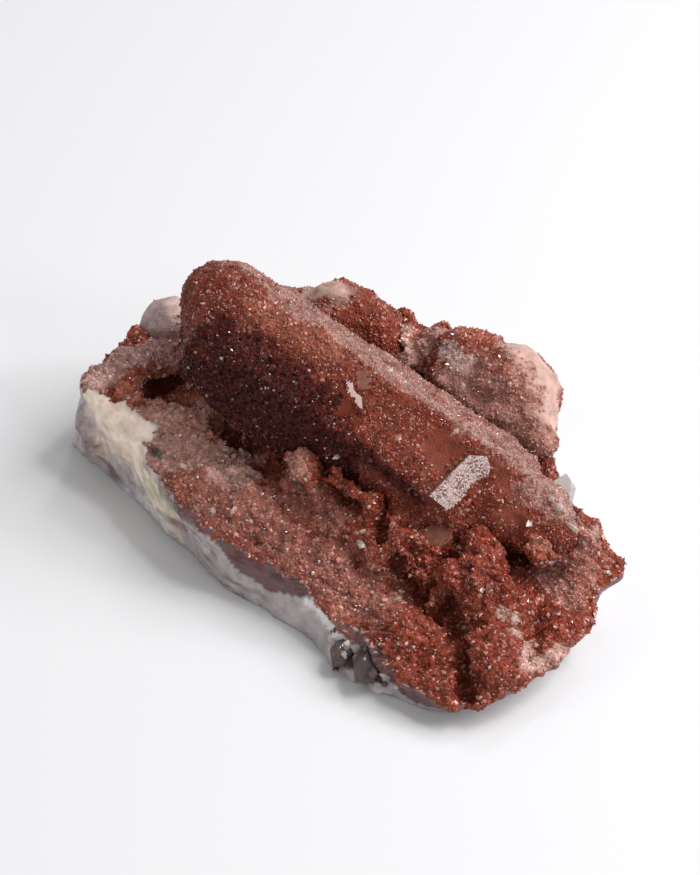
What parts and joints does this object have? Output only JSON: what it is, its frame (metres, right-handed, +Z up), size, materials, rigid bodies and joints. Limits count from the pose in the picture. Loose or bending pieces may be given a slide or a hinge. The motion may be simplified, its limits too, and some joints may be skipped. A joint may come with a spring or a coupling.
{
  "type": "hematoid quartz on matrix",
  "caption": "Stout red quartz crystal coated with fine druse, lying across a druse-topped slab of pale quartz matrix with smaller crystals at its edges.",
  "frame": {"origin": "a place in the slab's flat resting face, under the middle of the specimen", "axes": "+X along the main crystal towards its point, +Y towards the far edge, +Z up from the resting face"},
  "size_m": [0.0828, 0.054, 0.0333],
  "materials": {
    "red_druse": "sparkling druse, opaque",
    "pale_skin": "frosted druse, opaque",
    "matrix_quartz": "druse above, broken translucent quartz on the sides",
    "clear_quartz": "clear, glassy",
    "smoky_quartz": "smoky, glassy"
  },
  "bodies": {
    "root": {"matrix": "matrix_quartz", "main_crystal": "red_druse", "rear_right_crystal": "pale_skin", "rear_middle_crystal": "pale_skin", "rear_left_crystal": "pale_skin", "clear_point": "clear_quartz", "smoky_point_1": "smoky_quartz", "smoky_point_2": "smoky_quartz"}
  },
  "joints": []
}
